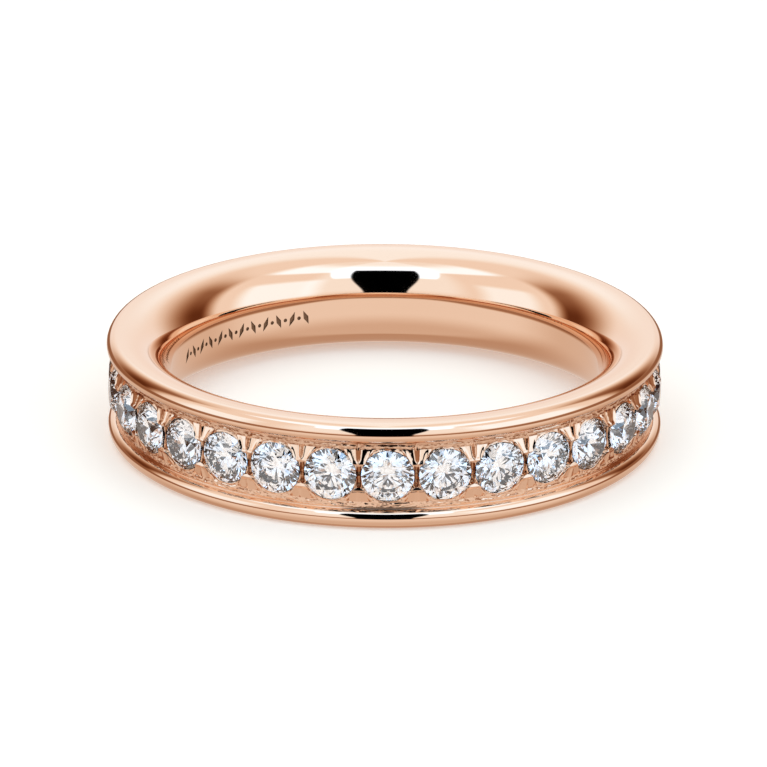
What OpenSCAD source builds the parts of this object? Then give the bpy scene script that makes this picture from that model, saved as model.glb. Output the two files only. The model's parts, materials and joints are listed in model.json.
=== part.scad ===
// Eternity wedding band: one cast metal band and a full circle of round brilliants.
// The ring lies flat. Its finger hole runs along +Z and the origin is the centre of the hole at
// half the band's width. The first stone faces -Y.

/* [Band] */
// Diameter of the finger hole at its narrowest, US ring size 6.5
finger_d = 16.92; // [15.7:0.01:19.8]
// Thickness of the wall from the finger hole to the outside of the rails
wall_t = 2.39; // [2.36:0.01:2.8]
// Width of the band, measured along the finger
band_w = 4.12; // [3.9:0.01:4.2]
// Width of the straight stretch in the middle of the comfort-fit hole
land_w = 0.5; // [0.4:0.1:1]

/* [Rails] */
// Width of each rail, measured along the finger
rail_w = 0.72; // [0.72:0.01:0.78]
// Depth of the stone channel below the rails
channel_depth = 0.35; // [0.25:0.01:0.38]
// Rounding of each rail's edge towards the band's side face
rail_side_r = 0.42; // [0.2:0.01:0.42]
// Rounding of each rail's edge towards the stone channel
rail_channel_r = 0.3; // [0.1:0.01:0.3]
// Radius of the cove at the foot of each rail
cove_r = 0.06; // [0.04:0.01:0.07]

/* [Stones] */
// Girdle diameter of one stone
stone_d = 1.95; // [1.7:0.01:2]
// Least gap between neighbouring stones, which sets how many stones fill the circle
least_gap = 0.17; // [0.15:0.01:0.3]
// Width of the table as a share of the girdle diameter
table_share = 0.57; // [0.53:0.01:0.62]
// Angle of the crown's main facets above the girdle plane
crown_angle = 34.5; // [32:0.5:36]
// Angle of the pavilion's main facets below the girdle plane
pavilion_angle = 40.8; // [40:0.2:42]
// Thickness of the girdle
girdle_t = 0.04; // [0.02:0.01:0.06]
// Turn of the whole circle of stones about the finger axis
first_stone_turn = 0.7; // [0:0.1:5]
// Gap between a stone and its seat
seat_gap = 0.01; // [0.005:0.005:0.02]

/* [Prongs] */
// Radius of one bead-like prong
prong_r = 0.17; // [0.14:0.01:0.19]
// Height of a prong above the channel floor
prong_h = 0.25; // [0.2:0.01:0.3]
// Half the distance between two prongs at a junction, as a share of the stone's radius
prong_gap_share = 0.24; // [0.22:0.01:0.26]
// Distance of the prongs from the middle of the band, as a share of the stone's radius
prong_row_share = 0.67; // [0.62:0.01:0.72]

/* [Engraving] */
// Number of leaves in the ornament on the inside wall
mark_count = 12; // [4:2:14]
// Length of one leaf
mark_size = 0.66; // [0.5:0.02:0.7]
// Width of one leaf
mark_w = 0.22; // [0.1:0.01:0.24]
// Lean of a leaf; neighbouring leaves lean opposite ways
mark_lean = 22; // [0:1:30]
// Depth of the ornament
mark_depth = 0.05; // [0.03:0.01:0.08]
// Angle of the ornament's middle, measured from the first stone
mark_angle = 225; // [90:1:270]
// Distance of the ornament below the middle of the band
mark_drop = 0.25; // [0:0.05:0.3]

/* [Hidden] */
$fn = 96;
finger_r = finger_d / 2;
outer_r = finger_r + wall_t;
half_w = band_w / 2;
comfort_r = half_w - land_w / 2;
floor_r = outer_r - channel_depth;
channel_half_w = half_w - rail_w;

// Stones stand with their girdles level with the channel floor
girdle_r = floor_r;
stone_r = stone_d / 2;
stone_count = floor(180 / asin((stone_r + least_gap / 2) / girdle_r));
stone_step = 360 / stone_count;
front_angle = -90 + first_stone_turn;

// Brilliant cut: mains meet the girdle at multiples of 45 degrees, halves in between
main_turn = 45;
half_turn = main_turn / 2;
star_share = 0.5;
lower_half_share = 0.8;
table_r = stone_r * table_share;
crown_h = (stone_r - table_r) * tan(crown_angle);
star_r = (table_r * cos(half_turn) + stone_r) / 2;
star_h = crown_h * (stone_r - star_r * cos(half_turn)) / (stone_r - table_r);
pavilion_h = stone_r * tan(pavilion_angle);
lower_r = stone_r * (1 - lower_half_share);
lower_h = pavilion_h * (1 - lower_r * cos(half_turn) / stone_r);
half_girdle = girdle_t / 2;
// Each stone is turned a little differently in its seat, as hand-set stones are
stone_twist = 17;

// Prongs reach below the floor so that they grow out of the band's metal
prong_root = 0.2;
prong_half_gap = stone_r * prong_gap_share;
prong_row = stone_r * prong_row_share;

// Leaves are spaced along the inside wall, with small dots between them
mark_pitch = 0.62;
mark_step = mark_pitch / finger_r * 180 / PI;
mark_reach = 0.5;
dot_r = 0.08;

metal = "#d9a07c";
diamond = "#e6edf7";

function two_digits(n) = n < 10 ? str("0", n) : str(n);
function stone_name(i) = str("stone_", two_digits(i + 1));
function ring_points(r, z, count, start = 0) = [
    for (i = [0 : count - 1])
        let (a = start + i * 360 / count)
        [r * cos(a), r * sin(a), z]
];

// Cross-section of the band in the plane that holds the finger axis
module band_section() {
    difference() {
        union() {
            // Body between the rounded hole and the channel floor
            translate([finger_r + comfort_r, -half_w])
                square([floor_r - finger_r - comfort_r, band_w]);
            intersection() {
                translate([finger_r, -half_w])
                    square([comfort_r, band_w]);
                union() {
                    translate([finger_r, -land_w / 2])
                        square([comfort_r, land_w]);
                    for (side = [-1, 1])
                        translate([finger_r + comfort_r, side * land_w / 2])
                            circle(r = comfort_r);
                }
            }
            // Rails with rounded edges
            for (side = [-1, 1])
                mirrored(side)
                    rail_section();
        }
        // Cove at the foot of each rail
        for (side = [-1, 1])
            translate([floor_r, side * (channel_half_w - cove_r)])
                circle(r = cove_r);
    }
}

// Mirrors its children to the lower side where side is -1
module mirrored(side) {
    if (side > 0)
        children();
    else
        mirror([0, 1])
            children();
}

// One rail: a rectangle whose two outer corners are rounded
module rail_section() {
    depth = channel_depth + 0.2;
    inner = outer_r - depth;
    side_centre = [outer_r - rail_side_r, half_w - rail_side_r];
    channel_centre = [outer_r - rail_channel_r, channel_half_w + rail_channel_r];
    translate(side_centre)
        circle(r = rail_side_r);
    translate(channel_centre)
        circle(r = rail_channel_r);
    // Core between the roundings
    polygon([
        [inner, channel_half_w],
        [channel_centre.x, channel_half_w],
        channel_centre,
        [outer_r, channel_centre.y],
        [outer_r, side_centre.y],
        side_centre,
        [side_centre.x, half_w],
        [inner, half_w]
    ]);
}

// Puts its children at a stone's place: local +Z points away from the finger
module at_stone(index) {
    rotate([0, 0, front_angle + index * stone_step])
        translate([girdle_r, 0, 0])
            rotate([0, 90, 0])
                children();
}

// Smallest turned shape that holds a stone, with the seat's gap around it
module seat() {
    fit = 1 + seat_gap / stone_r;
    scale(fit)
        rotate_extrude()
            polygon([
                [0, -half_girdle - pavilion_h],
                [lower_r, -half_girdle - lower_h],
                [stone_r, -half_girdle],
                [stone_r, half_girdle],
                [star_r, half_girdle + star_h],
                [table_r, half_girdle + crown_h],
                [0, half_girdle + crown_h]
            ]);
}

// Bead-like prong with a domed end, standing on the channel floor
module prong() {
    translate([0, 0, -prong_root])
        cylinder(r = prong_r, h = prong_root + prong_h - prong_r);
    translate([0, 0, prong_h - prong_r])
        sphere(r = prong_r);
}

// The four prongs at the junction between two stones, two on each side of the channel
module junction_prongs() {
    for (along = [-1, 1])
        for (across = [-1, 1])
            translate([along * prong_row, across * prong_half_gap, 0])
                prong();
}

// Cuts its children into the inside wall, some steps along from the ornament's middle
module at_mark(steps) {
    rotate([0, 0, front_angle + mark_angle + steps * mark_step])
        translate([finger_r - mark_reach, 0, -mark_drop])
            rotate([0, 90, 0])
                children();
}

// Outline of a slender leaf with a point at each end
module leaf() {
    polygon([
        [mark_size / 2, 0],
        [0, mark_w / 2],
        [-mark_size / 2, 0],
        [0, -mark_w / 2]
    ]);
}

// Shallow ornament on the inside wall: leaning leaves with dots between them
module engraving() {
    first = -(mark_count - 1) / 2;
    cut = mark_reach + mark_depth;
    for (i = [0 : mark_count - 1])
        at_mark(first + i)
            linear_extrude(cut)
                rotate(i % 2 == 0 ? mark_lean : -mark_lean)
                    leaf();
    for (i = [0 : mark_count - 2])
        at_mark(first + i + 0.5)
            cylinder(r = dot_r, h = cut);
}

module band() {
    color(metal)
        difference() {
            union() {
                rotate_extrude()
                    band_section();
                for (i = [0 : stone_count - 1])
                    at_stone(i + 0.5)
                        junction_prongs();
            }
            for (i = [0 : stone_count - 1])
                at_stone(i)
                    seat();
            engraving();
        }
}

// Round brilliant with its table towards local +Z and its girdle on the local XY plane
module brilliant() {
    points = concat(
        ring_points(table_r, half_girdle + crown_h, 8),
        ring_points(star_r, half_girdle + star_h, 8, half_turn),
        ring_points(stone_r, half_girdle, 16),
        ring_points(stone_r, -half_girdle, 16),
        ring_points(lower_r, -half_girdle - lower_h, 8, half_turn),
        [[0, 0, -half_girdle - pavilion_h]]
    );
    // The cut is convex, so its facets are the hull of its corners
    hull()
        polyhedron(points, [[for (i = [0 : len(points) - 1]) i]]);
}

module stone(index) {
    color(diamond)
        at_stone(index)
            rotate([0, 0, index * stone_twist])
                brilliant();
}

band();
for (i = [0 : stone_count - 1])
    stone(i);
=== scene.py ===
"""Eternity wedding band: the looks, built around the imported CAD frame.

Shapes are worked out in millimetres in the frame's own axes (finger axis along +Z, first stone
towards -Y) and turned into metres when a mesh is made.
"""
import json
import math
import random

import bmesh
import bpy
from mathutils import Matrix, Vector, noise


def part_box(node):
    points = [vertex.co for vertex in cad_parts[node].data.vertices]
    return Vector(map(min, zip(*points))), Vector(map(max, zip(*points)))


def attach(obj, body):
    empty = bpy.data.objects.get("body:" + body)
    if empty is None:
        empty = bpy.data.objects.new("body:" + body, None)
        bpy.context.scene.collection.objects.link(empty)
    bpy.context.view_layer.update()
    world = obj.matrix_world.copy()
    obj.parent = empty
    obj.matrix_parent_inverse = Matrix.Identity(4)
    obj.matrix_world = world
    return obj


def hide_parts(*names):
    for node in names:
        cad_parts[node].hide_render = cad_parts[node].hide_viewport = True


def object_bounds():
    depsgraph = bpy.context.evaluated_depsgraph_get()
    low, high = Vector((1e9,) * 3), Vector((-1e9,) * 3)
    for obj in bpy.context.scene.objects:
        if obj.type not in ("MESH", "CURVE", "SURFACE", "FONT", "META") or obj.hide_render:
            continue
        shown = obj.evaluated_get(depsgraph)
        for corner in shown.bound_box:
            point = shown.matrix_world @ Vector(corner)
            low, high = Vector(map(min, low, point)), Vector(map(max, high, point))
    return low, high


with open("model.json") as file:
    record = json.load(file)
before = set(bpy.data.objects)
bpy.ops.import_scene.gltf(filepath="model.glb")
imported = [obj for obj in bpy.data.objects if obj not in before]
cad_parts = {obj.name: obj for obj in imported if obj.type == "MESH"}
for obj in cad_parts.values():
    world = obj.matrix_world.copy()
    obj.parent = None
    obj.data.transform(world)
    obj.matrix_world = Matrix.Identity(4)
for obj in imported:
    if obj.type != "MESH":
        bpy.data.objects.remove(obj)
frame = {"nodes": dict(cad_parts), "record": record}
cad_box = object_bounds()

# ---------------------------------------------------------------- sizes, in mm
MM = 0.001
TAU = 2 * math.pi

mounts = {m["name"]: m for m in frame["record"]["mounts"]}
FINGER_R = mounts["finger_bore"]["dims"]["r_mm"]
LAND = mounts["finger_bore"]["dims"]["length_mm"]
OUTER_R = (cad_box[1].x - cad_box[0].x) / 2 / MM
HALF_W = (cad_box[1].z - cad_box[0].z) / 2 / MM
STONE_NODES = sorted(n for n in frame["nodes"] if n.startswith("stone_"))
STONES = len(STONE_NODES)
CELL = TAU / STONES

CHANNEL_DEPTH = 0.35
COMFORT_R = HALF_W - LAND / 2
FLOOR_R = OUTER_R - CHANNEL_DEPTH

# One stone: girdle radius, cut, and its seat's clearance and depth below the culet
STONE_R = 0.975
TABLE_SHARE = 0.57
CROWN_ANGLE = math.radians(34.5)
PAVILION_ANGLE = math.radians(40.8)
LOWER_HALF_SHARE = 0.8
HALF_GIRDLE = 0.03
GIRDLE_SIDES = 96
SEAT_GAP = 0.01
SEAT_BELOW_CULET = 0.06

# The rail is widest at the crest and rounds off to both sides
CREST_Z = 1.62
RAIL_EDGE_IN = 0.42
CHANNEL_EDGE_R = 0.30
CHANNEL_TOP = CREST_Z - CHANNEL_EDGE_R
LEDGE_Z = 1.25
COVE_DEPTH = 0.01


def first_stone_angle():
    """Direction of the first stone from the finger axis, averaged over all the CAD stones."""
    total = 0.0
    for i, node in enumerate(STONE_NODES):
        low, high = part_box(node)
        turn = math.atan2(low.y + high.y, low.x + high.x) - i * CELL + math.pi / 2
        total += (turn + math.pi) % TAU - math.pi
    return total / STONES - math.pi / 2


FIRST_STONE = first_stone_angle()


def stone_angle(index):
    return FIRST_STONE + index * CELL


# ---------------------------------------------------------------- mesh helpers
def new_object(name, verts, faces, materials, smooth_angle=None):
    """Object from points in mm. With smooth_angle, edges sharper than it stay crisp."""
    mesh = bpy.data.meshes.new(name)
    mesh.from_pydata([[c * MM for c in v] for v in verts], [], faces)
    mesh.validate()
    for material in materials:
        mesh.materials.append(material)
    if smooth_angle is not None:
        mesh.polygons.foreach_set("use_smooth", [True] * len(mesh.polygons))
        mesh.set_sharp_from_angle(angle=math.radians(smooth_angle))
    mesh.update()
    obj = bpy.data.objects.new(name, mesh)
    bpy.context.scene.collection.objects.link(obj)
    return obj


def polar(radius, angle, z):
    return (radius * math.cos(angle), radius * math.sin(angle), z)


def smoothstep(low, high, x):
    t = min(max((x - low) / (high - low), 0.0), 1.0)
    return t * t * (3 - 2 * t)


# ---------------------------------------------------------------- shader helpers
def new_material(name):
    material = bpy.data.materials.new(name)
    material.use_nodes = True
    nodes = material.node_tree.nodes
    nodes.clear()
    output = nodes.new("ShaderNodeOutputMaterial")
    shader = nodes.new("ShaderNodeBsdfPrincipled")
    material.node_tree.links.new(shader.outputs["BSDF"], output.inputs["Surface"])
    return material, nodes, material.node_tree.links, shader


def math_node(tree, operation, a, b=None):
    """Adds a Math node; a and b are sockets or numbers. Returns its output socket."""
    node = tree.nodes.new("ShaderNodeMath")
    node.operation = operation
    for socket, value in zip(node.inputs, (a, b)):
        if value is None:
            continue
        if isinstance(value, (int, float)):
            socket.default_value = value
        else:
            tree.links.new(value, socket)
    return node.outputs[0]


def ramp_between(tree, value, low, high):
    """0 below low, 1 above high, smooth in between."""
    node = tree.nodes.new("ShaderNodeMapRange")
    node.interpolation_type = "SMOOTHSTEP"
    node.inputs["From Min"].default_value = low
    node.inputs["From Max"].default_value = high
    tree.links.new(value, node.inputs["Value"])
    return node.outputs["Result"]


# ---------------------------------------------------------------- materials
ROSE_GOLD = (0.885, 0.605, 0.43, 1)
WORN_GOLD = (0.865, 0.575, 0.395, 1)
# Painted shade: reddish-brown laid into the setting's recesses, and how patchy it is
RECESS_SHADE = (0.42, 0.19, 0.09, 1)
SHADE_PATCH = 0.06
DIAMOND_IOR = 2.417


def gold_base(name, roughness):
    """Rose gold with faint colour drift and the haze of fine polishing lines."""
    material, nodes, links, shader = new_material(name)
    coords = nodes.new("ShaderNodeTexCoord").outputs["Object"]
    drift = nodes.new("ShaderNodeTexNoise")
    drift.inputs["Scale"].default_value = 180
    drift.inputs["Detail"].default_value = 3
    links.new(coords, drift.inputs["Vector"])
    tint = nodes.new("ShaderNodeMix")
    tint.data_type = "RGBA"
    tint.inputs["A"].default_value = ROSE_GOLD
    tint.inputs["B"].default_value = WORN_GOLD
    links.new(drift.outputs["Fac"], tint.inputs["Factor"])
    links.new(tint.outputs["Result"], shader.inputs["Base Color"])

    lines = nodes.new("ShaderNodeTexNoise")
    lines.inputs["Scale"].default_value = 2600
    lines.inputs["Detail"].default_value = 4
    stretch = nodes.new("ShaderNodeMapping")
    stretch.inputs["Scale"].default_value = (0.25, 0.25, 3.0)
    links.new(coords, stretch.inputs["Vector"])
    links.new(stretch.outputs["Vector"], lines.inputs["Vector"])
    spread = nodes.new("ShaderNodeMapRange")
    spread.inputs["To Min"].default_value = roughness * 0.8
    spread.inputs["To Max"].default_value = roughness * 1.3
    links.new(lines.outputs["Fac"], spread.inputs["Value"])
    links.new(spread.outputs["Result"], shader.inputs["Roughness"])
    shader.inputs["Metallic"].default_value = 1.0
    return material, tint.outputs["Result"]


def polished_gold():
    return gold_base("rose_gold_polished", 0.04)[0]


def setting_gold(name, roughness, hammered, shade_depth):
    """Hand-finished rose gold. The recesses, which lie closer to the finger axis, are painted
    reddish-brown as shade, and small tool marks break up the reflections."""
    material, tint = gold_base(name, roughness)
    tree = material.node_tree
    nodes, links = tree.nodes, tree.links
    shader = next(n for n in nodes if n.type == "BSDF_PRINCIPLED")
    coords = nodes.new("ShaderNodeTexCoord").outputs["Object"]
    split = nodes.new("ShaderNodeSeparateXYZ")
    links.new(coords, split.inputs[0])
    x, y = split.outputs[0], split.outputs[1]
    x_squared, y_squared = math_node(tree, "MULTIPLY", x, x), math_node(tree, "MULTIPLY", y, y)
    radius = math_node(tree, "SQRT", math_node(tree, "ADD", x_squared, y_squared))
    grain = nodes.new("ShaderNodeTexNoise")
    grain.inputs["Scale"].default_value = 9000
    grain.inputs["Detail"].default_value = 3
    links.new(coords, grain.inputs["Vector"])
    # Depth below the top of the setting, in mm, roughened so that the painted shade looks patchy
    below = math_node(tree, "MULTIPLY", math_node(tree, "SUBTRACT", FLOOR_R * MM, radius), 1 / MM)
    patch = math_node(tree, "MULTIPLY", grain.outputs["Fac"], SHADE_PATCH)
    patchy = math_node(tree, "ADD", below, patch)
    amount = ramp_between(tree, patchy, shade_depth, shade_depth + SHADE_PATCH)
    # Painted shade: the deeper the surface lies, the more reddish-brown it turns
    painted_shade = nodes.new("ShaderNodeMix")
    painted_shade.data_type = "RGBA"
    links.new(amount, painted_shade.inputs["Factor"])
    links.new(tint, painted_shade.inputs["A"])
    painted_shade.inputs["B"].default_value = RECESS_SHADE
    links.new(painted_shade.outputs["Result"], shader.inputs["Base Color"])
    bump = nodes.new("ShaderNodeBump")
    bump.inputs["Strength"].default_value = hammered
    bump.inputs["Distance"].default_value = 0.02 * MM
    links.new(grain.outputs["Fac"], bump.inputs["Height"])
    links.new(bump.outputs["Normal"], shader.inputs["Normal"])
    return material


def grainy_metal(name, scale, detail, dark, light, metallic, roughness):
    """Matt metal whose colour wanders between a dark and a light tone with a fine grain."""
    material, nodes, links, shader = new_material(name)
    coords = nodes.new("ShaderNodeTexCoord")
    grain = nodes.new("ShaderNodeTexNoise")
    grain.inputs["Scale"].default_value = scale
    grain.inputs["Detail"].default_value = detail
    links.new(coords.outputs["Object"], grain.inputs["Vector"])
    ramp = nodes.new("ShaderNodeValToRGB")
    ramp.color_ramp.elements[0].color = dark
    ramp.color_ramp.elements[1].color = light
    links.new(grain.outputs["Fac"], ramp.inputs["Fac"])
    links.new(ramp.outputs["Color"], shader.inputs["Base Color"])
    shader.inputs["Metallic"].default_value = metallic
    shader.inputs["Roughness"].default_value = roughness
    return material


def seat_shadow():
    """The seat below a stone, seen only through the stone, painted dark as shade for the light
    trapped under it.
    """
    dark, light = (0.012, 0.014, 0.03, 1), (0.07, 0.07, 0.11, 1)
    return grainy_metal("seat_painted_shade", 6000, 2, dark, light, metallic=0.5, roughness=0.6)


def engraved_gold():
    """Floor of the engraving: matt and darkened."""
    dark, light = (0.16, 0.08, 0.04, 1), (0.34, 0.19, 0.10, 1)
    return grainy_metal("engraved_gold", 9000, 5, dark, light, metallic=0.6, roughness=0.5)


def diamond_material():
    """Clear stone whose faint body colour drifts a little from place to place."""
    material, nodes, links, shader = new_material("diamond")
    coords = nodes.new("ShaderNodeTexCoord")
    cloud = nodes.new("ShaderNodeTexNoise")
    cloud.inputs["Scale"].default_value = 700
    links.new(coords.outputs["Object"], cloud.inputs["Vector"])
    tint = nodes.new("ShaderNodeMix")
    tint.data_type = "RGBA"
    tint.inputs["A"].default_value = (1.0, 0.955, 0.935, 1)
    tint.inputs["B"].default_value = (0.89, 0.85, 0.845, 1)
    links.new(cloud.outputs["Fac"], tint.inputs["Factor"])
    links.new(tint.outputs["Result"], shader.inputs["Base Color"])
    shader.inputs["Roughness"].default_value = 0.0
    shader.inputs["IOR"].default_value = DIAMOND_IOR
    shader.inputs["Transmission Weight"].default_value = 1.0
    return material


GOLD = polished_gold()
SETTING_GOLD = setting_gold("rose_gold_setting", 0.10, hammered=0.5, shade_depth=0.02)
PRONG_GOLD = setting_gold("rose_gold_prongs", 0.06, hammered=0.15, shade_depth=0.0)
ENGRAVED = engraved_gold()
# Seat walls: dark grainy metal as painted shade under the stones
SEAT = seat_shadow()
DIAMOND = diamond_material()

# ---------------------------------------------------------------- the metal band
# Counts of mesh steps, per stone cell for the first three
RIM_STEPS = 16
SIDE_STEPS = 26
END_STEPS = 26
COVE_STEPS = 6
EDGE_STEPS = 12
FLAT_STEPS = 4
COMFORT_STEPS = 28
LAND_STEPS = 6

# The band's material slots
POLISHED, SETTING, ENGRAVING, SEAT_WALL = range(4)


def rail_and_inside_profile():
    """(r, z) points from the upper edge of the setting strip, over the upper rail and side face,
    through the finger hole and back over the lower rail to the strip's lower edge."""
    quarter = math.pi / 2
    upper = [(FLOOR_R, LEDGE_Z)]
    # Cove at the rail's foot
    cove_w = CHANNEL_TOP - LEDGE_Z
    for i in range(1, COVE_STEPS):
        a = math.pi * i / COVE_STEPS
        upper.append((FLOOR_R - COVE_DEPTH * math.sin(a), LEDGE_Z + cove_w * (1 - math.cos(a)) / 2))
    upper.append((FLOOR_R, CHANNEL_TOP))
    # Rounding towards the channel, then the rounding towards the side face
    for i in range(EDGE_STEPS + 1):
        a = quarter * (i / EDGE_STEPS - 1)
        r = OUTER_R - CHANNEL_EDGE_R * (1 - math.cos(a))
        upper.append((r, CREST_Z + CHANNEL_EDGE_R * math.sin(a)))
    for i in range(1, EDGE_STEPS + 1):
        a = quarter * i / EDGE_STEPS
        r = OUTER_R - RAIL_EDGE_IN * (1 - math.cos(a))
        upper.append((r, CREST_Z + (HALF_W - CREST_Z) * math.sin(a)))
    # Flat side face
    hole_end = FINGER_R + COMFORT_R
    flat = OUTER_R - RAIL_EDGE_IN - hole_end
    for i in range(1, FLAT_STEPS):
        upper.append((hole_end + flat * (1 - i / FLAT_STEPS), HALF_W))
    # Comfort-fit rounding
    for i in range(COMFORT_STEPS + 1):
        a = quarter * (1 - i / COMFORT_STEPS)
        r = hole_end - COMFORT_R * math.cos(a)
        upper.append((r, LAND / 2 + COMFORT_R * math.sin(a)))
    lower = [(r, -z) for r, z in reversed(upper)]
    middle = [(FINGER_R, LAND * (0.5 - i / LAND_STEPS)) for i in range(1, LAND_STEPS)]
    return upper + middle + lower


# Saw cut between two stones: where it starts beside the junction and ends towards the ledges
SAW_CUT_SIDE = (0.03, 0.11)
SAW_CUT_END = (0.4, 0.55)
SAW_CUT_DEPTH = 0.07
SAW_CUT_MARKS = 0.08
# Lip round a stone: its height, place outside the rim, width, and where it starts
LIP_HEIGHT = 0.03
LIP_PLACE = 0.03
LIP_WIDTH = 0.025
LIP_START = (0.5, 0.8)
# Ledge beside the stones, and its scored lines as (place, width, share of the full depth)
LEDGE_START = (0.8, 0.98)
LEDGE_MARKS_END = 1.2
SCORED_LINES = ((1.2, 0.03, 1.0), (1.06, 0.025, 0.8))


def groove(edge, place, width):
    """1 at the given place, fading over the width on both sides of it."""
    return math.exp(-(((edge - place) / width) ** 2))


def strip_height(across, z, angle):
    """Height of the setting strip above the channel floor. across is the distance from the
    stone's axis along the band, z the distance from the band's middle."""
    half_cell = FLOOR_R * CELL / 2
    to_junction = half_cell - abs(across)
    edge = abs(z)
    x, y = FLOOR_R * math.cos(angle), FLOOR_R * math.sin(angle)
    # Saw cut between neighbouring stones, with tool marks across it
    in_cut = (1 - smoothstep(*SAW_CUT_SIDE, to_junction)) * (1 - smoothstep(*SAW_CUT_END, edge))
    marks = SAW_CUT_MARKS * noise.noise(Vector((x, y, z * 7.0)))
    cut = in_cut * (marks - SAW_CUT_DEPTH)
    # Bright-cut lip around each stone
    from_rim = math.hypot(across, z) - STONE_R
    lip = LIP_HEIGHT * groove(from_rim, LIP_PLACE, LIP_WIDTH) * smoothstep(*LIP_START, edge)
    # Hand-finished ledge between the stones and the rail: scored lines and tool marks
    on_ledge = smoothstep(*LEDGE_START, edge) * (1 - smoothstep(LEDGE_MARKS_END, LEDGE_Z, edge))
    dashes = 0.5 + noise.noise(Vector((x * 2.2, y * 2.2, z)))
    # The lower ledge is scored less deeply, is rougher and bulges a little
    line_depth, rough, bulge = (0.012, 0.03, 0.35) if z < 0 else (0.03, 0.018, -0.5)
    lines = sum(share * groove(edge, place, width) for place, width, share in SCORED_LINES)
    scored = -line_depth * dashes * lines
    spot = Vector((x * 6.0, y * 6.0, z * 11.0))
    wave = rough * (noise.noise(spot) + 0.7 * noise.noise(spot * 2.3) + bulge)
    return cut + lip + on_ledge * (scored + wave)


def cell_boundary():
    """Points (across, z) around the edge of one stone's cell, counted anticlockwise."""
    half = FLOOR_R * CELL / 2
    points = [(half, -LEDGE_Z + 2 * LEDGE_Z * i / END_STEPS) for i in range(END_STEPS)]
    points += [(half - 2 * half * i / SIDE_STEPS, LEDGE_Z) for i in range(SIDE_STEPS)]
    points += [(-half, LEDGE_Z - 2 * LEDGE_Z * i / END_STEPS) for i in range(END_STEPS)]
    points += [(-half + 2 * half * i / SIDE_STEPS, -LEDGE_Z) for i in range(SIDE_STEPS)]
    return points


# Rows up the seat's wall, as shares of its rim's radius
SEAT_SHARES = (0.02, 0.3, 0.65, 1.0)
# The strip's rows lie closer together near a stone's rim
ROW_CROWDING = 1.3


def seat_rows(centre, edge_points):
    """Rows of points up the wall of one stone's seat, each row running round the seat. The
    first row closes the seat's tip."""
    seat_r = STONE_R + SEAT_GAP
    depth = STONE_R * math.tan(PAVILION_ANGLE) + SEAT_BELOW_CULET
    rows = []
    for share in SEAT_SHARES:
        radius = FLOOR_R - HALF_GIRDLE - depth * (1 - share)
        row = []
        for x, z in edge_points:
            a = math.atan2(z, x)
            u, v = seat_r * share * math.cos(a), seat_r * share * math.sin(a)
            row.append(polar(math.hypot(u, radius), centre + math.atan2(u, radius), v))
        rows.append(row)
    return rows


def strip_rows(centre, edge_points):
    """Rows of points from one stone's rim out to the edge of its cell, each row running round."""
    seat_r = STONE_R + SEAT_GAP
    rows = []
    for k in range(RIM_STEPS + 1):
        t = (k / RIM_STEPS) ** ROW_CROWDING
        row = []
        for x, z in edge_points:
            a = math.atan2(z, x)
            across = seat_r * math.cos(a) * (1 - t) + x * t
            along = seat_r * math.sin(a) * (1 - t) + z * t
            angle = centre + across / FLOOR_R
            at_rail = k == RIM_STEPS and abs(z) >= LEDGE_Z
            height = 0 if at_rail else strip_height(across, along, angle)
            row.append(polar(FLOOR_R + height, angle, along))
        rows.append(row)
    return rows


def build_band():
    """One closed metal body: lathe-turned rails and hole, and a setting strip with a seat for
    each stone. Vertices are shared where the stretches meet."""
    verts, faces, face_material, index_of = [], [], [], {}

    def vertex(point):
        key = tuple(round(c, 5) for c in point)
        if key not in index_of:
            index_of[key] = len(verts)
            verts.append(point)
        return index_of[key]

    def face(indices, material):
        corners = [a for i, a in enumerate(indices) if a != indices[i - 1]]
        if len(corners) > 2:
            faces.append(corners)
            face_material.append(material)

    centres = [stone_angle(i) for i in range(STONES)]
    # Rails, side faces and finger hole
    profile = rail_and_inside_profile()
    stations = []
    for centre in centres:
        stations += [centre - CELL / 2 + CELL * i / SIDE_STEPS for i in range(SIDE_STEPS)]
    rings = [[vertex(polar(r, a, z)) for r, z in profile] for a in stations]
    for i, ring in enumerate(rings):
        following = rings[(i + 1) % len(rings)]
        for j in range(len(profile) - 1):
            face([ring[j], following[j], following[j + 1], ring[j + 1]], POLISHED)
    # Seats and setting strip
    edge_points = cell_boundary()
    for centre in centres:
        walls = seat_rows(centre, edge_points)
        points = walls + strip_rows(centre, edge_points)
        rows = [[vertex(point) for point in row] for row in points]
        face(rows[0], SEAT_WALL)
        for level, (inner, outer) in enumerate(zip(rows, rows[1:])):
            material = SEAT_WALL if level < len(walls) else SETTING
            for i in range(len(edge_points)):
                n = (i + 1) % len(edge_points)
                face([inner[i], outer[i], outer[n], inner[n]], material)
    obj = new_object("band_metal", verts, faces, [GOLD, SETTING_GOLD, ENGRAVED, SEAT])
    obj.data.polygons.foreach_set("material_index", face_material)
    return obj


# ---------------------------------------------------------------- engraving
MARK_COUNT = 12
MARK_PITCH = 0.62
MARK_SIZE = 0.66
MARK_W = 0.22
MARK_LEAN = math.radians(22)
MARK_ANGLE = math.radians(225)
MARK_DROP = 0.25
MARK_DEPTH = 0.05
MARK_DOT_R = 0.08
MARK_DOT_SIDES = 20
CUTTER_REACH = 0.5


def prism(verts, faces, angle, outline):
    """Adds a prism that points away from the finger axis and cuts the hole's wall."""
    base = len(verts)
    count = len(outline)
    for radius in (FINGER_R - CUTTER_REACH, FINGER_R + MARK_DEPTH):
        for u, v in outline:
            turn = math.atan2(u, radius)
            verts.append(polar(math.hypot(u, radius), angle + turn, v - MARK_DROP))
    faces.append([base + i for i in reversed(range(count))])
    faces.append([base + count + i for i in range(count)])
    for i in range(count):
        n = (i + 1) % count
        faces.append([base + i, base + n, base + count + n, base + count + i])


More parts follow.
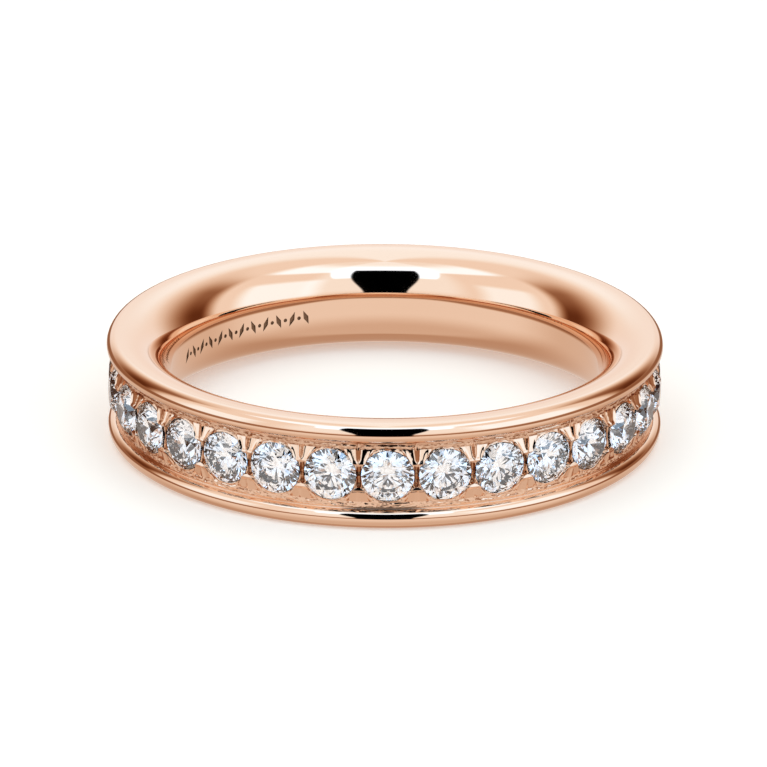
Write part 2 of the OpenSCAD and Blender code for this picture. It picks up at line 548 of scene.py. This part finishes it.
def engrave(band):
    """Cuts the row of leaning leaves, with dots between them, into the hole's wall."""
    verts, faces = [], []
    step = MARK_PITCH / FINGER_R
    first = stone_angle(0) + MARK_ANGLE - (MARK_COUNT - 1) / 2 * step
    leaf = [(MARK_W / 2, 0), (0, MARK_SIZE / 2), (-MARK_W / 2, 0), (0, -MARK_SIZE / 2)]
    dot = [polar(MARK_DOT_R, TAU * i / MARK_DOT_SIDES, 0)[:2] for i in range(MARK_DOT_SIDES)]
    for i in range(MARK_COUNT):
        lean = Matrix.Rotation(MARK_LEAN if i % 2 else -MARK_LEAN, 2)
        prism(verts, faces, first + i * step, [tuple(lean @ Vector(p)) for p in leaf])
    for i in range(MARK_COUNT - 1):
        prism(verts, faces, first + (i + 0.5) * step, dot)
    # The cutter's one material takes the place of the band's ENGRAVING slot
    cutter = new_object("cutter", verts, faces, [ENGRAVED])
    cut = band.modifiers.new("engraving", "BOOLEAN")
    cut.operation = "DIFFERENCE"
    cut.solver = "EXACT"
    cut.material_mode = "TRANSFER"
    cut.object = cutter
    graph = bpy.context.evaluated_depsgraph_get()
    mesh = bpy.data.meshes.new_from_object(band.evaluated_get(graph))
    band.modifiers.clear()
    band.data = mesh
    bpy.data.objects.remove(cutter)


def profile_normal(r, z):
    """Exact outward normal (radial, axial) of the turned surface at a point near it."""
    side = 1 if z >= 0 else -1
    z = abs(z)
    hole_end = FINGER_R + COMFORT_R
    if r < hole_end:
        if z < LAND / 2:
            return (-1.0, 0.0)
        length = math.hypot(r - hole_end, z - LAND / 2)
        return ((r - hole_end) / length, side * (z - LAND / 2) / length)
    if r < OUTER_R - RAIL_EDGE_IN and z > HALF_W - 1e-3:
        return (0.0, side)
    if z >= CREST_Z:
        a = RAIL_EDGE_IN
        b = HALF_W - CREST_Z
        n = Vector(((r - OUTER_R + a) / a ** 2, (z - CREST_Z) / b ** 2)).normalized()
        return (n.x, side * n.y)
    n = Vector((r - OUTER_R + CHANNEL_EDGE_R, z - CREST_Z)).normalized()
    return (n.x, side * n.y)


# Edges sharper than this stay crisp, and exact normals replace only those close to them
CRISP_ANGLE = math.radians(38)
CLOSE_TO_EXACT = 0.9


def smooth_band(band):
    """Gives the turned surfaces their exact normals and leaves cut edges crisp."""
    mesh = band.data
    mesh.polygons.foreach_set("use_smooth", [True] * len(mesh.polygons))
    mesh.set_sharp_from_angle(angle=CRISP_ANGLE)
    mesh.update()
    normals = [Vector(c.vector) for c in mesh.corner_normals]
    for polygon in mesh.polygons:
        if polygon.material_index != POLISHED:
            continue
        for loop_index in polygon.loop_indices:
            co = mesh.vertices[mesh.loops[loop_index].vertex_index].co / MM
            r = math.hypot(co.x, co.y)
            in_channel = r > FLOOR_R - 0.2 and abs(co.z) < CHANNEL_TOP + 1e-3
            if in_channel:
                continue
            radial, axial = profile_normal(r, co.z)
            exact = Vector((radial * co.x / r, radial * co.y / r, axial))
            if exact.dot(polygon.normal) > CLOSE_TO_EXACT:
                normals[loop_index] = exact
    mesh.normals_split_custom_set(normals)


# ---------------------------------------------------------------- prongs
PRONG_ROOT_Z = 1.02
PRONG_TIP_Z = 0.40
PRONG_ROOT_HALF = 0.56
PRONG_NARROWING = 0.36
PRONG_ROUNDED_FROM = 0.72
PRONG_BURIED = 0.10
RIDGE_HEIGHT = 0.11
RIM_HEIGHT = 0.055
LOWER_RELIEF = 0.35
PRONG_LENGTH_STEPS = 18
PRONG_ACROSS_STEPS = 24


def prong_half_width(t):
    """Half the prong's width: it narrows from its root and ends in a rounded tip."""
    into_tip = max(0.0, t - PRONG_ROUNDED_FROM) / (1 - PRONG_ROUNDED_FROM)
    rounded = math.sqrt(max(0.0, 1 - into_tip ** 2))
    return max((PRONG_ROOT_HALF - PRONG_NARROWING * t) * rounded, 0.004)


def prong_height(t, share, wobble, relief):
    """Height above the channel floor. t runs from root to tip, share from edge to edge, and
    relief scales how sharply the ridge and the lips stand out."""
    u = share * prong_half_width(t)
    climb = 0.02 + 0.20 * t
    ridge = relief * RIDGE_HEIGHT * (1 - 0.7 * t) * groove(u, 0.01 * wobble, 0.075 - 0.03 * t)
    rim = relief * RIM_HEIGHT * smoothstep(0.62, 0.86, abs(share)) * smoothstep(0.0, 0.3, t)
    closed = 0.05 * smoothstep(0.6, 0.85, t)
    worn = 1 - smoothstep(0.8, 1.0, t) * 0.35
    edge = 1 - smoothstep(0.86, 1.0, abs(share)) * 0.45
    return (climb + max(ridge, rim, closed)) * worn * edge


def fishtail(verts, faces, angle, side, rng):
    """One fishtail prong: it rises from the ledge to its tip between two stones, with a ridge
    down its middle and a raised lip over each stone."""
    base = len(verts)
    wobble = rng.uniform(-1, 1)
    length = rng.uniform(0.96, 1.03)
    relief = 1.0 if side > 0 else LOWER_RELIEF
    twist = rng.uniform(-0.012, 0.012)
    columns = PRONG_ACROSS_STEPS + 1
    for i in range(PRONG_LENGTH_STEPS + 1):
        t = i / PRONG_LENGTH_STEPS
        z = PRONG_ROOT_Z - (PRONG_ROOT_Z - PRONG_TIP_Z) * length * t
        half = prong_half_width(t)
        for buried in (False, True):
            for j in range(columns):
                share = 2 * j / PRONG_ACROSS_STEPS - 1
                height = -PRONG_BURIED if buried else prong_height(t, share, wobble, relief)
                u = share * half * (0.9 if buried else 1.0) + twist * t
                verts.append(polar(FLOOR_R + height, angle + u / FLOOR_R, z * side))

    def quad(indices):
        faces.append(indices if side < 0 else indices[::-1])

    row_size = 2 * columns
    for i in range(PRONG_LENGTH_STEPS):
        here, following = base + i * row_size, base + (i + 1) * row_size
        for j in range(PRONG_ACROSS_STEPS):
            quad([here + j, here + j + 1, following + j + 1, following + j])
            below, after = here + columns + j, following + columns + j
            quad([below, after, after + 1, below + 1])
        last = PRONG_ACROSS_STEPS
        quad([here, following, following + columns, here + columns])
        quad([here + last, here + columns + last, following + columns + last, following + last])
    for row, turned in ((base, False), (base + PRONG_LENGTH_STEPS * row_size, True)):
        for j in range(PRONG_ACROSS_STEPS):
            end = [row + j, row + columns + j, row + columns + j + 1, row + j + 1]
            quad(end[::-1] if turned else end)


def build_prongs(name, side):
    """All prongs on one side of the channel: one fishtail at each junction between stones."""
    rng = random.Random(11 if side > 0 else 12)
    verts, faces = [], []
    for i in range(STONES):
        fishtail(verts, faces, stone_angle(i) + CELL / 2, side, rng)
    return new_object(name, verts, faces, [PRONG_GOLD], smooth_angle=50)


# ---------------------------------------------------------------- stones
def plane_through(a, b, c):
    """Plane through three points as (point, normal), the normal facing away from the centre."""
    normal = (b - a).cross(c - a).normalized()
    return a, normal if normal.dot(a) > 0 else -normal


def brilliant_planes():
    """Facet planes of a round brilliant as (point, outward normal), table towards +Z."""
    table_r = STONE_R * TABLE_SHARE
    crown_h = (STONE_R - table_r) * math.tan(CROWN_ANGLE)
    eighth = TAU / 8
    half = eighth / 2
    star_r = (table_r * math.cos(half) + STONE_R) / 2
    star_h = crown_h * (STONE_R - star_r * math.cos(half)) / (STONE_R - table_r)
    pavilion_h = STONE_R * math.tan(PAVILION_ANGLE)
    lower_r = STONE_R * (1 - LOWER_HALF_SHARE)
    lower_h = pavilion_h * (1 - lower_r * math.cos(half) / STONE_R)

    def at(r, a, z):
        return Vector(polar(r, a, z))

    def main_facet(slope, a, side):
        return Vector((*polar(math.sin(slope), a, 0)[:2], side * math.cos(slope)))

    planes = [(Vector((0, 0, HALF_GIRDLE + crown_h)), Vector((0, 0, 1)))]
    for i in range(8):
        a = i * eighth
        mid = a + half
        up, down = HALF_GIRDLE, -HALF_GIRDLE
        table_here = at(table_r, a, up + crown_h)
        table_next = at(table_r, a + eighth, up + crown_h)
        star = at(star_r, mid, up + star_h)
        low = at(lower_r, mid, down - lower_h)
        planes.append((table_here, main_facet(CROWN_ANGLE, a, 1)))
        planes.append((at(STONE_R, a, down), main_facet(PAVILION_ANGLE, a, -1)))
        planes.append(plane_through(table_here, table_next, star))
        for g in (a, a + eighth):
            planes.append(plane_through(star, at(STONE_R, g, up), at(STONE_R, mid, up)))
            planes.append(plane_through(low, at(STONE_R, g, down), at(STONE_R, mid, down)))
    return planes


def cut_brilliant():
    """Cuts the stone from a round blank, facet by facet, as a lapidary does."""
    blank = bmesh.new()
    bmesh.ops.create_cone(
        blank, cap_ends=True, segments=GIRDLE_SIDES, radius1=STONE_R, radius2=STONE_R, depth=4.0
    )
    for point, normal in brilliant_planes():
        geometry = blank.verts[:] + blank.edges[:] + blank.faces[:]
        cut = bmesh.ops.bisect_plane(
            blank, geom=geometry, plane_co=point, plane_no=normal, dist=1e-6, clear_outer=True
        )
        rim = [e for e in cut["geom_cut"] if isinstance(e, bmesh.types.BMEdge)]
        if rim:
            bmesh.ops.contextual_create(blank, geom=rim)
    bmesh.ops.remove_doubles(blank, verts=blank.verts[:], dist=1e-5)
    bmesh.ops.recalc_face_normals(blank, faces=blank.faces[:])
    verts = [tuple(v.co) for v in blank.verts]
    faces = [[v.index for v in f.verts] for f in blank.faces]
    blank.free()
    return verts, faces


# Hand-set stones stand a little unevenly: in mm and in degrees
UNEVEN_HEIGHT = 0.012
UNEVEN_TILT = 1.2


def build_stones():
    """All the stones, each turned and tilted a little differently in its seat."""
    rng = random.Random(5)
    verts, faces = cut_brilliant()
    for i, node in enumerate(STONE_NODES):
        lift = rng.uniform(-UNEVEN_HEIGHT, UNEVEN_HEIGHT)
        place = (
            Matrix.Rotation(stone_angle(i), 4, "Z")
            @ Matrix.Translation((FLOOR_R + lift, 0, 0))
            @ Matrix.Rotation(math.pi / 2, 4, "Y")
            @ Matrix.Rotation(math.radians(rng.uniform(-UNEVEN_TILT, UNEVEN_TILT)), 4, "X")
            @ Matrix.Rotation(math.radians(rng.uniform(-UNEVEN_TILT, UNEVEN_TILT)), 4, "Y")
            @ Matrix.Rotation(rng.uniform(0, TAU), 4, "Z")
        )
        points = [tuple(place @ Vector(v)) for v in verts]
        stone = new_object("diamond_" + node[-2:], points, faces, [DIAMOND])
        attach(stone, "root")
        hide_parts(node)


band = build_band()
engrave(band)
smooth_band(band)
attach(band, "root")
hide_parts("band")
for name, side in (("upper_prongs", 1), ("lower_prongs", -1)):
    prongs = build_prongs(name, side)
    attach(prongs, "root")
build_stones()


# ---------------------------------------------------------------- studio
FLOOR_RADIUS = 0.6
FLOOR_SIDES = 96
FLOOR_GLOW = 0.27
# Brightness of the room, and what each panel adds to it
ROOM = 1.02
OVERHEAD = 0.65
RIGHT_BOX = 0.5
LEFT_BOX = 0.4
HIGH_BACK = 0.35
BESIDE_GAP = 0.22
# How far the dark stretches take the light away
SIDE_GAP_DARKNESS = 0.87
HORIZON_DARKNESS = 0.6
# Red, and the extra share of blue, each as a base plus a gain on the brightness
RED_BASE, RED_GAIN = 0.7, 0.31
COOL_BASE, COOL_GAIN = 0.55, 0.47
# Powers of the tone that green and blue follow, so that dark stretches are also redder
GREEN_POWER = 1.6
BLUE_POWER = 2.1
# The dark gap that the camera looks through, in degrees
GAP_HALF = 11
GAP_WIDENING = 12
GAP_TOP = 62
GAP_BOTTOM = -9


def floor_material():
    """Matt warm white, which balances the cool panels, with a faint glow of its own."""
    material, nodes, links, shader = new_material("studio_floor")
    coords = nodes.new("ShaderNodeTexCoord")
    grain = nodes.new("ShaderNodeTexNoise")
    grain.inputs["Scale"].default_value = 40
    links.new(coords.outputs["Object"], grain.inputs["Vector"])
    shade = nodes.new("ShaderNodeMix")
    shade.data_type = "RGBA"
    shade.inputs["A"].default_value = (0.97, 0.85, 0.70, 1)
    shade.inputs["B"].default_value = (0.99, 0.86, 0.71, 1)
    links.new(grain.outputs["Fac"], shade.inputs["Factor"])
    links.new(shade.outputs["Result"], shader.inputs["Base Color"])
    shader.inputs["Roughness"].default_value = 0.9
    shader.inputs["Specular IOR Level"].default_value = 0.0
    shader.inputs["Emission Color"].default_value = (1, 1, 1, 1)
    shader.inputs["Emission Strength"].default_value = FLOOR_GLOW
    return material


def build_floor():
    """Pale floor. Polished metal doesn't mirror it: below the horizon the metal mirrors the
    world's own lower half, which is tinted as a floor in the ring's shade is."""
    z = cad_box[0].z / MM
    outline = [polar(FLOOR_RADIUS / MM, TAU * i / FLOOR_SIDES, z) for i in range(FLOOR_SIDES)]
    floor = new_object("studio_floor", outline, [list(range(FLOOR_SIDES))], [floor_material()])
    floor.visible_glossy = False


def window(tree, value, low, high, soft):
    """1 between low and high degrees, 0 outside, with soft degrees of falloff on both sides."""
    rise = ramp_between(tree, value, math.radians(low - soft), math.radians(low))
    fall = ramp_between(tree, value, math.radians(high), math.radians(high + soft))
    return math_node(tree, "MULTIPLY", rise, math_node(tree, "SUBTRACT", 1.0, fall))


def build_world():
    """White softboxes in front and overhead, a lit wall behind, dark gaps on both sides, a dark
    gap that the camera looks through, and a warm floor below. All angles are in degrees."""
    world = bpy.data.worlds.new("studio")
    bpy.context.scene.world = world
    world.use_nodes = True
    tree = world.node_tree
    tree.nodes.clear()
    output = tree.nodes.new("ShaderNodeOutputWorld")
    background = tree.nodes.new("ShaderNodeBackground")
    tree.links.new(background.outputs[0], output.inputs["Surface"])
    coords = tree.nodes.new("ShaderNodeTexCoord")
    split = tree.nodes.new("ShaderNodeSeparateXYZ")
    tree.links.new(coords.outputs["Generated"], split.inputs[0])
    x, y, z = split.outputs

    def times(a, b):
        return math_node(tree, "MULTIPLY", a, b)

    def plus(a, b):
        return math_node(tree, "ADD", a, b)

    def ramp(value, low, high):
        return ramp_between(tree, value, math.radians(low), math.radians(high))

    def without(mask, strength=1.0):
        return math_node(tree, "SUBTRACT", 1.0, times(mask, strength))

    elevation = math_node(tree, "ARCSINE", z)
    azimuth = math_node(tree, "ARCTAN2", x, times(y, -1.0))
    off_centre = math_node(tree, "ABSOLUTE", azimuth)

    # Overhead panel: its front edge dips on both sides of the camera's gap
    dip = times(ramp(off_centre, 30, 42), math.radians(-16))
    overhead = times(ramp(plus(elevation, dip), 41, 45), without(ramp(off_centre, 85, 110)))
    overhead = times(overhead, without(ramp(elevation, 68, 80), 0.8))
    right_box = times(window(tree, azimuth, 45, 78, 14), window(tree, elevation, 8, 38, 8))
    left_box = times(window(tree, azimuth, -82, -62, 14), window(tree, elevation, 4, 32, 8))
    high_back = times(ramp(off_centre, 150, 172), ramp(elevation, 10, 35))
    beside_gap = times(without(ramp(off_centre, 34, 50)), ramp(elevation, 2, 14))
    panels = plus(times(overhead, OVERHEAD), times(right_box, RIGHT_BOX))
    panels = plus(panels, times(left_box, LEFT_BOX))
    panels = plus(panels, times(high_back, HIGH_BACK))
    white = plus(panels, plus(ROOM, times(beside_gap, BESIDE_GAP)))

    # Warm stretches: dark gaps at both sides and the floor, darker near the horizon and behind
    side_gap = times(ramp(off_centre, 98, 113), without(ramp(off_centre, 118, 160)))
    side_gap = times(side_gap, without(ramp(elevation, 38, 60)))
    side_gap = times(side_gap, without(ramp(elevation, 12, 40), 0.22))
    below = without(ramp(elevation, -2, 4))
    horizon_drop = times(ramp(off_centre, 20, 60), math.radians(5))
    near_horizon = times(below, ramp(plus(elevation, horizon_drop), -13, -8))
    steep = times(without(ramp(elevation, -60, -18)), 0.20)
    behind = times(ramp(off_centre, 70, 115), 0.18)
    floor_shade = times(below, plus(plus(steep, behind), 0.06))
    side_shade = without(times(side_gap, without(below)), SIDE_GAP_DARKNESS)
    tone = times(side_shade, without(near_horizon, HORIZON_DARKNESS))
    tone = times(tone, without(floor_shade))
    # Light that comes off gold or a warm floor loses green and blue
    red = times(tone, plus(RED_BASE, times(white, RED_GAIN)))
    green = times(white, math_node(tree, "POWER", tone, GREEN_POWER))
    # The bright panels are cool, so that gold mirrors them as plain white
    cool = plus(COOL_BASE, times(white, COOL_GAIN))
    blue = times(times(white, cool), math_node(tree, "POWER", tone, BLUE_POWER))
    colour = tree.nodes.new("ShaderNodeCombineColor")
    for socket, value in zip(colour.inputs, (red, green, blue)):
        tree.links.new(value, socket)
    tree.links.new(colour.outputs[0], background.inputs["Color"])

    # The camera's gap widens upwards
    widening = times(ramp(elevation, 0, GAP_TOP), math.radians(GAP_WIDENING))
    beside = plus(off_centre, times(plus(math.radians(GAP_HALF), widening), -1.0))
    above = ramp(elevation, GAP_TOP, GAP_TOP + 2)
    lit = math_node(tree, "MAXIMUM", ramp(beside, -0.5, 1.0), above)
    lit = math_node(tree, "MAXIMUM", lit, without(ramp(elevation, GAP_BOTTOM, GAP_BOTTOM + 2)))
    tree.links.new(lit, background.inputs["Strength"])


# ---------------------------------------------------------------- camera
CAMERA_ELEVATION = math.radians(20.15)
CAMERA_DISTANCE = 13.86 * OUTER_R * MM
CAMERA_LENS = 179.9
CAMERA_SENSOR = 36.0
CAMERA_ROLL = math.radians(0.27)
AIM_BELOW = 0.243 * MM
AIM_LEFT = 0.045 * MM


def build_camera():
    """Long lens in front of the ring and above it, aimed a little below and left of its centre."""
    data = bpy.data.cameras.new("camera")
    data.lens = CAMERA_LENS
    data.sensor_width = CAMERA_SENSOR
    data.clip_start = 0.005
    data.clip_end = 10
    camera = bpy.data.objects.new("camera", data)
    bpy.context.scene.collection.objects.link(camera)
    level, up = math.cos(CAMERA_ELEVATION), math.sin(CAMERA_ELEVATION)
    view_up = Vector((0, up, level))
    camera.location = Vector((0, -level, up)) * CAMERA_DISTANCE
    target = -view_up * AIM_BELOW - Vector((1, 0, 0)) * AIM_LEFT
    look = (target - camera.location).to_track_quat("-Z", "Y").to_matrix().to_4x4()
    turn = look @ Matrix.Rotation(CAMERA_ROLL, 4, "Z")
    camera.matrix_world = Matrix.Translation(camera.location) @ turn
    bpy.context.scene.camera = camera


build_floor()
build_world()
build_camera()

scene = bpy.context.scene
scene.view_settings.view_transform = "Standard"
scene.cycles.max_bounces = 24
scene.cycles.glossy_bounces = 8
scene.cycles.transmission_bounces = 20
